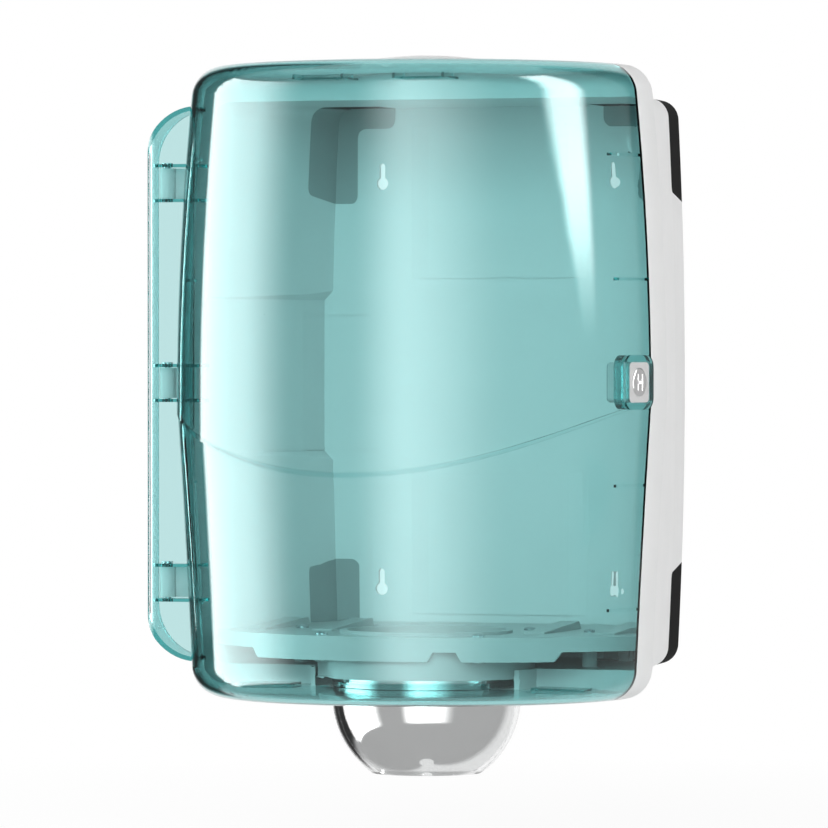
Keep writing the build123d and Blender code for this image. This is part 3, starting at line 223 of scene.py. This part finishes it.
def recessed_head(tree, sizes):
    """A domed screw head above z = 0 with a cross cut into it."""
    block = add_node(tree, "GeometryNodeMeshCylinder", Vertices=28, Radius=sizes["Head Radius"],
                     Depth=sizes["Head Height"])
    block = moved_up(tree, block.outputs["Mesh"], sizes["Head Height"], 0.5)
    flat = add_node(tree, "ShaderNodeMath", {"operation": "DIVIDE"}, i0=sizes["Head Height"],
                    i1=sizes["Head Radius"])
    flat = add_node(tree, "ShaderNodeMath", {"operation": "MULTIPLY"}, i0=flat.outputs[0], i1=CROWN_FLATNESS)
    round_radius = add_node(tree, "ShaderNodeMath", {"operation": "MULTIPLY"}, i0=sizes["Head Radius"],
                            i1=CROWN_OVERSIZE)
    crown = add_node(tree, "GeometryNodeMeshUVSphere", Segments=28, Rings=14, Radius=round_radius.outputs[0])
    squash = add_node(tree, "ShaderNodeCombineXYZ", X=1.0, Y=1.0, Z=flat.outputs[0])
    crown = add_node(tree, "GeometryNodeTransform", Geometry=crown.outputs["Mesh"], Scale=squash.outputs[0])
    head = add_node(tree, "GeometryNodeMeshBoolean", {"operation": "INTERSECT"})
    tree.links.new(block, head.inputs["Mesh 2"])
    tree.links.new(crown.outputs[0], head.inputs["Mesh 2"])
    bars = tree.nodes.new("GeometryNodeJoinGeometry")
    for across in (False, True):
        size = add_node(tree, "ShaderNodeCombineXYZ", X=sizes["Head Radius" if across else "Drive Width"],
                        Y=sizes["Drive Width" if across else "Head Radius"], Z=sizes["Head Height"])
        bar = add_node(tree, "GeometryNodeMeshCube", Size=size.outputs[0])
        tree.links.new(moved_up(tree, bar.outputs["Mesh"], sizes["Head Height"], 1.0), bars.inputs[0])
    recessed = add_node(tree, "GeometryNodeMeshBoolean", {"operation": "DIFFERENCE"}, Mesh_1=head.outputs[0])
    tree.links.new(bars.outputs[0], recessed.inputs["Mesh 2"])
    return recessed.outputs[0]


def moved_up(tree, geometry, size, share):
    """Geometry moved up by a share of a size."""
    rise = add_node(tree, "ShaderNodeMath", {"operation": "MULTIPLY"}, i0=size, i1=share)
    along_z = add_node(tree, "ShaderNodeCombineXYZ", Z=rise.outputs[0])
    moved = add_node(tree, "GeometryNodeTransform", Geometry=geometry, Translation=along_z.outputs[0])
    return moved.outputs[0]


screw_tree, screw_sockets, sizes = sized_tree("pan_head_screws", SCREW_SIZES)
screw = screw_tree.nodes.new("GeometryNodeJoinGeometry")
for part in threaded_shank(screw_tree, sizes) + [recessed_head(screw_tree, sizes)]:
    screw_tree.links.new(part, screw.inputs[0])
screws = add_node(screw_tree, "GeometryNodeInstanceOnPoints", Points=sizes["Geometry"],
                  Instance=screw.outputs[0])
finish_tree(screw_tree, screws.outputs[0], zinc)


def set_screws(node_name, places):
    """Screws on the shelf's top at the given places, as one plain mesh in place of the CAD node."""
    points = bpy.data.meshes.new(node_name + "_points")
    points.from_pydata([(x, y, SHELF_TOP) for x, y in places], [], [])
    piece = placed_in_scene(node_name + "_threaded", points)
    made_plain(piece, screw_tree, screw_sockets, SCREW_SIZES)
    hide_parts(node_name)
    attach(piece, "housing")


set_screws("shelf_screws", [(x, y) for x in (-BOSS_X, BOSS_X) for y in BOSS_Y])
quarters = [math.radians(45 + 90 * i) for i in range(4)]
set_screws("holder_screws", [(COLLAR_ORBIT * math.cos(turn), ROLL_AXIS_Y + COLLAR_ORBIT * math.sin(turn))
                             for turn in quarters])

# The funnel and the tear ring inside the nozzle guide and grip the paper strand.
# They are acetal mouldings, slightly waxy and a little lighter than the shelf.
ACETAL_LIGHT = "#d3d4d2"
ACETAL_DARK = "#cbccca"
acetal_pale = moulded_surface("acetal_natural_moulding", ACETAL_LIGHT, ACETAL_DARK,
                              roughness=(0.3, 0.42), grain=0.0008, height=0.000006)
dress("paper_funnel", acetal_pale)
dress("tear_ring", acetal_pale)

# The nozzle's dome is moulded plastic with a chrome-plated skin, which mirrors the room almost cleanly.
# The shallow waves of the plating bend the reflections a little.
CHROME_LIGHT = "#e8e8e8"
CHROME_DARK = "#e0e0e0"
chrome = moulded_surface("chrome_plated_plastic", CHROME_LIGHT, CHROME_DARK,
                         roughness=(0.04, 0.08), grain=0.002, height=0.000002, metallic=1.0)
dress("nozzle_dome", chrome)

# The cover is injection-moulded acrylic, tinted blue-green in the mass and polished on both faces.
# It hinges on the wing at its left. Light that runs along a wall or through a rib comes out much darker.
ACRYLIC_FACE = "#dcf2f2"
ACRYLIC_STEEP = "#9acaca"
ACRYLIC_MASS = "#00cfcf"
MASS_DENSITY = 115.0
ACRYLIC_IOR = 1.49
STEEP_POWER = 2.2
WAVES_PER_METRE = 14.0
WAVE_HEIGHT = 0.0002


def clear_plastic(name, face, steep, ior):
    """Polished clear plastic that refracts, and lets the lamps' light in straight."""
    material, tree, output = new_material(name)
    angle = add_node(tree, "ShaderNodeLayerWeight", Blend=0.5).outputs["Facing"]
    slope = add_node(tree, "ShaderNodeMath", {"operation": "POWER"}, i0=angle, i1=STEEP_POWER)
    tint = add_node(tree, "ShaderNodeMix", {"data_type": "RGBA"}, i0=slope.outputs[0],
                    i6=linear(face), i7=linear(steep))
    place = add_node(tree, "ShaderNodeTexCoord").outputs["Object"]
    waves = add_node(tree, "ShaderNodeTexNoise", Vector=place, Scale=WAVES_PER_METRE, Detail=1.0)
    relief = add_node(tree, "ShaderNodeBump", Height=waves.outputs["Fac"], Distance=WAVE_HEIGHT,
                      Strength=RELIEF_STRENGTH)
    body = add_node(tree, "ShaderNodeBsdfPrincipled", Base_Color=tint.outputs[2], Roughness=0.0, IOR=ior,
                    Transmission_Weight=1.0, Normal=relief.outputs["Normal"])
    through = add_node(tree, "ShaderNodeBsdfTransparent", Color=(1, 1, 1, 1))
    path = add_node(tree, "ShaderNodeLightPath")
    both = add_node(tree, "ShaderNodeMixShader", i0=path.outputs["Is Shadow Ray"], i1=body.outputs[0],
                    i2=through.outputs[0])
    tree.links.new(both.outputs[0], output.inputs["Surface"])
    return material, tree, output


acrylic, tree, output = clear_plastic("acrylic_tinted_polished", ACRYLIC_FACE, ACRYLIC_STEEP, ACRYLIC_IOR)
mass = add_node(tree, "ShaderNodeVolumeAbsorption", Color=linear(ACRYLIC_MASS), Density=MASS_DENSITY)
tree.links.new(mass.outputs[0], output.inputs["Volume"])
dress("front_cover", acrylic)

# The guard round the dome is a water-clear polycarbonate moulding that turns with it.
# Only its rim and a faint ring of reflection show.
GUARD_FACE = "#fbfcfc"
GUARD_STEEP = "#edeeee"
POLYCARBONATE_IOR = 1.585
guard_clear = clear_plastic("polycarbonate_clear", GUARD_FACE, GUARD_STEEP, POLYCARBONATE_IOR)[0]
dress("nozzle_shell", guard_clear)

# Three steel pins, one through each knuckle and the cover's two ears beside it.
# They are cut from drawn wire and zinc plated like the screws.
dress("hinge_pins", zinc)

# The lock at the right: a case and its cap in light grey ABS, snapped into the cover's frame.
# The oval button with its key slot is chrome plated like the dome.
LOCK_LIGHT = "#c4c4c4"
LOCK_DARK = "#bdbdbd"
lock_grey = moulded_surface("abs_light_grey_moulding", LOCK_LIGHT, LOCK_DARK,
                            roughness=(0.3, 0.42), grain=0.0005, height=0.00001)
dress("lock_case", lock_grey)
dress("lock_cap", lock_grey)
dress("lock_button", chrome)

# The latch plate behind the lock is a grey acetal moulding, held on the button's stem by one screw.
# It hooks behind the housing's keeper rib. Its skin is a little waxy.
LATCH_LIGHT = "#9a9fa0"
LATCH_DARK = "#8f9495"
acetal_grey = moulded_surface("acetal_grey_moulding", LATCH_LIGHT, LATCH_DARK,
                              roughness=(0.35, 0.45), grain=0.0005, height=0.00001)
dress("latch_plate", acetal_grey)
dress("latch_screw", zinc)

# The coil spring round the button's stem rests on the cap and pushes the button out.
# Cold-drawn spring wire, zinc plated, wound in five open turns, which close up as the button goes in.
LOCK_TURN = math.radians(75)
LOCK_HEIGHT = 0.004
BARREL_RADIUS = 0.156
CAP_DEPTH = 0.014
COIL_SIZES = {"Coil Radius": 0.0044, "Wire Radius": 0.00045, "Length": 0.0099, "Turns": 5.0}
coil_tree, coil_sockets, sizes = sized_tree("coil_spring", COIL_SIZES)
helix = add_node(coil_tree, "GeometryNodeCurveSpiral", Resolution=32, Rotations=sizes["Turns"],
                 Start_Radius=sizes["Coil Radius"], End_Radius=sizes["Coil Radius"], Height=sizes["Length"])
wire = add_node(coil_tree, "GeometryNodeCurvePrimitiveCircle", Resolution=12, Radius=sizes["Wire Radius"])
coil = add_node(coil_tree, "GeometryNodeCurveToMesh", Curve=helix.outputs[0], Profile_Curve=wire.outputs[0])
coil.inputs["Fill Caps"].default_value = True
finish_tree(coil_tree, coil.outputs[0], zinc)
button_coil = placed_in_scene("button_coil", bpy.data.meshes.new("button_coil_start"))
made_plain(button_coil, coil_tree, coil_sockets, COIL_SIZES)
lock_out = Vector((math.sin(LOCK_TURN), -math.cos(LOCK_TURN), 0))
cap_face = Vector((0, ROLL_AXIS_Y, LOCK_HEIGHT)) + lock_out * (BARREL_RADIUS - CAP_DEPTH)
coil_foot = cap_face + lock_out * COIL_SIZES["Wire Radius"]
along_stem = lock_out.to_track_quat("Z", "Y").to_matrix().to_4x4()
button_coil.data.transform(Matrix.Translation(coil_foot) @ along_stem)
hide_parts("button_spring")
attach(button_coil, "cover")
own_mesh(button_coil)

# A plain pale studio floor below the dispenser, which hangs free above it.
# It is painted board: matt, and white where it is only seen.
FLOOR_PALE = "#f3f3f3"
FLOOR_Z = -0.30
FLOOR_HALF = 6.0
SHADOW_REACH = 0.35
WHITE_FROM = 1.0
WHITE_NEAR = 0.90


def seen_directly(tree):
    """1 where a ray comes from the camera, a mirror or clear plastic, else 0."""
    path = add_node(tree, "ShaderNodeLightPath")
    seen = path.outputs["Is Camera Ray"]
    for kind in ("Is Glossy Ray", "Is Transmission Ray"):
        either = add_node(tree, "ShaderNodeMath", {"operation": "MAXIMUM"}, i0=seen, i1=path.outputs[kind])
        seen = either.outputs[0]
    return seen


floor_mesh = bpy.data.meshes.new("studio_floor")
floor_corners = [(FLOOR_HALF * x, FLOOR_HALF * y, FLOOR_Z) for x, y in ((-1, -1), (1, -1), (1, 1), (-1, 1))]
floor_mesh.from_pydata(floor_corners, [], [(0, 1, 2, 3)])
studio_floor = placed_in_scene("studio_floor", floor_mesh)
floor_material, tree, output = new_material("board_painted_white")
place = add_node(tree, "ShaderNodeTexCoord").outputs["Object"]
away = add_node(tree, "ShaderNodeVectorMath", {"operation": "LENGTH"}, i0=place)
far = add_node(tree, "ShaderNodeMapRange", Value=away.outputs["Value"], From_Min=SHADOW_REACH,
               From_Max=WHITE_FROM, To_Min=WHITE_NEAR)
matt = add_node(tree, "ShaderNodeBsdfDiffuse", Color=linear(FLOOR_PALE))
lit = add_node(tree, "ShaderNodeEmission", Color=(1, 1, 1, 1), Strength=1.0)
share = add_node(tree, "ShaderNodeMath", {"operation": "MULTIPLY"}, i0=seen_directly(tree),
                 i1=far.outputs["Result"])
mixed = add_node(tree, "ShaderNodeMixShader", i0=share.outputs[0], i1=matt.outputs[0], i2=lit.outputs[0])
tree.links.new(mixed.outputs[0], output.inputs["Surface"])
floor_mesh.materials.append(floor_material)
studio_floor.visible_glossy = False
studio_floor.visible_transmission = False

# The studio is a white room, dimmer for the object than for the camera.
# Three soft boxes light the object: one in front and one on each side.
ROOM_LIGHT = 0.35
world = bpy.data.worlds.new("studio")
bpy.context.scene.world = world
world.use_nodes = True
world.cycles.sampling_method = "NONE"
tree = world.node_tree
tree.nodes.clear()
level = add_node(tree, "ShaderNodeMapRange", Value=seen_directly(tree), To_Min=ROOM_LIGHT, To_Max=1.0)
sky = add_node(tree, "ShaderNodeBackground", Color=(1, 1, 1, 1), Strength=level.outputs["Result"])
add_node(tree, "ShaderNodeOutputWorld", Surface=sky.outputs[0])


def soft_box(name, direction, distance, size, brightness):
    """A square lamp that lights a white surface facing it to the given level. Mirrors see the cards."""
    data = bpy.data.lights.new(name, "AREA")
    data.size = size
    data.energy = brightness * math.pi * math.pi * distance ** 2
    lamp = placed_in_scene(name, data)
    lamp.location = Vector((0, ROLL_AXIS_Y, 0)) + Vector(direction).normalized() * distance
    lamp.rotation_euler = Vector(direction).to_track_quat("Z", "Y").to_euler()
    lamp.visible_glossy = False
    lamp.visible_transmission = False


soft_box("lamp_front", direction=(0.15, -1.0, 0.22), distance=3.0, size=1.6, brightness=0.86)
soft_box("lamp_right", direction=(1.0, 0.25, 0.25), distance=2.2, size=1.2, brightness=0.33)
soft_box("lamp_left", direction=(-1.0, -0.25, 0.35), distance=2.2, size=1.2, brightness=0.66)

# Cards of light round the studio, seen only in polished faces: a grey surround, dark gaps behind on both
# sides, a tall bright strip on the left, a broad soft card in front and a high one on the right.
CARD_RADIUS = 3.0
CARD_STEPS = 24
CARD_FOOT = 0.25


def card_mesh(name, turns, rises, radius, lean):
    """A curved sheet round the roll axis between two turns from the front and two rises, in degrees."""
    corners = []
    uvs = []
    for i in range(CARD_STEPS + 1):
        for j in range(CARD_STEPS + 1):
            start = turns[0] + lean * max(0.0, 1 - j / CARD_STEPS / CARD_FOOT)
            turn = math.radians(start + (turns[1] - start) * i / CARD_STEPS)
            rise = math.radians(rises[0] + (rises[1] - rises[0]) * j / CARD_STEPS)
            corners.append((radius * math.sin(turn), ROLL_AXIS_Y - radius * math.cos(turn),
                            radius * math.tan(rise)))
            uvs.append((i / CARD_STEPS, j / CARD_STEPS))
    row = CARD_STEPS + 1
    faces = [(i * row + j, (i + 1) * row + j, (i + 1) * row + j + 1, i * row + j + 1)
             for i in range(CARD_STEPS) for j in range(CARD_STEPS)]
    mesh = bpy.data.meshes.new(name)
    mesh.from_pydata(corners, [], faces)
    layer = mesh.uv_layers.new(name="UVMap")
    for loop in mesh.loops:
        layer.data[loop.index].uv = uvs[loop.vertex_index]
    return mesh


def reflection_card(name, turns, rises, radiance, fades, radius, lean=0):
    """A glowing card that fades at its first turn, its last turn and its foot, by shares of its span."""
    card = placed_in_scene(name, card_mesh(name, turns, rises, radius, lean))
    material, tree, output = new_material(name)
    uv = add_node(tree, "ShaderNodeUVMap").outputs["UV"]
    place = add_node(tree, "ShaderNodeSeparateXYZ", Vector=uv)
    path = add_node(tree, "ShaderNodeLightPath")
    mirrored = add_node(tree, "ShaderNodeMath", {"operation": "LESS_THAN"}, i0=path.outputs["Diffuse Depth"],
                        i1=0.5)
    share = mirrored.outputs[0]
    for axis, edge, full in (("X", 0.0, fades[0]), ("X", 1.0, 1.0 - fades[1]), ("Y", 0.0, fades[2])):
        fade = add_node(tree, "ShaderNodeMapRange", {"interpolation_type": "SMOOTHSTEP"},
                        Value=place.outputs[axis], From_Min=edge, From_Max=full)
        share = add_node(tree, "ShaderNodeMath", {"operation": "MULTIPLY"}, i0=share,
                         i1=fade.outputs[0]).outputs[0]
    light = add_node(tree, "ShaderNodeEmission", Strength=radiance)
    clear = add_node(tree, "ShaderNodeBsdfTransparent")
    mixed = add_node(tree, "ShaderNodeMixShader", i0=share, i1=clear.outputs[0], i2=light.outputs[0])
    tree.links.new(mixed.outputs[0], output.inputs["Surface"])
    card.data.materials.append(material)
    for kind in ("camera", "diffuse", "shadow", "volume_scatter"):
        setattr(card, "visible_" + kind, False)


reflection_card("card_surround", turns=(-140, 150), rises=(-84, 50), radiance=0.52,
                fades=(0.06, 0.06, 0.01), radius=CARD_RADIUS + 0.6)
reflection_card("card_dark_left", turns=(-150, -107), rises=(-30, 60), radiance=0.04,
                fades=(0.2, 0.02, 0.05), radius=CARD_RADIUS + 0.4)
reflection_card("card_dark_right", turns=(132, 164), rises=(-9, 60), radiance=0.04,
                fades=(0.1, 0.2, 0.05), radius=CARD_RADIUS + 0.4)
reflection_card("card_strip_left", turns=(-107, -42), rises=(-35, 32), radiance=6.8,
                fades=(0.04, 0.5, 0.05), radius=CARD_RADIUS)
reflection_card("card_front", turns=(-16, 58), rises=(-35, 40), radiance=5.0,
                fades=(0.35, 0.7, 0.05), radius=CARD_RADIUS + 0.2)
reflection_card("card_right_high", turns=(74, 103), rises=(2, 50), radiance=13.0,
                fades=(0.3, 0.3, 0.18), radius=CARD_RADIUS, lean=20)

# The camera stands level in front, 19 degrees to the right, with a long lens.
# Its place comes from a fit to the keyholes, the nozzle and the outline in the photograph.
CAMERA_PLACE = (1.3268, -3.9772, 0.030)
CAMERA_TURN = 19.214
CAMERA_DOWN = 0.654
CAMERA_SENSOR = 36
CAMERA_LENS = 282.57
camera_data = bpy.data.cameras.new("camera")
camera_data.sensor_width = CAMERA_SENSOR
camera_data.lens = CAMERA_LENS
camera_data.clip_end = 50
camera = placed_in_scene("camera", camera_data)
camera.location = CAMERA_PLACE
camera.rotation_euler = Euler((math.radians(90 - CAMERA_DOWN), 0, math.radians(CAMERA_TURN)))
bpy.context.scene.camera = camera
bpy.context.scene.view_settings.view_transform = "Standard"
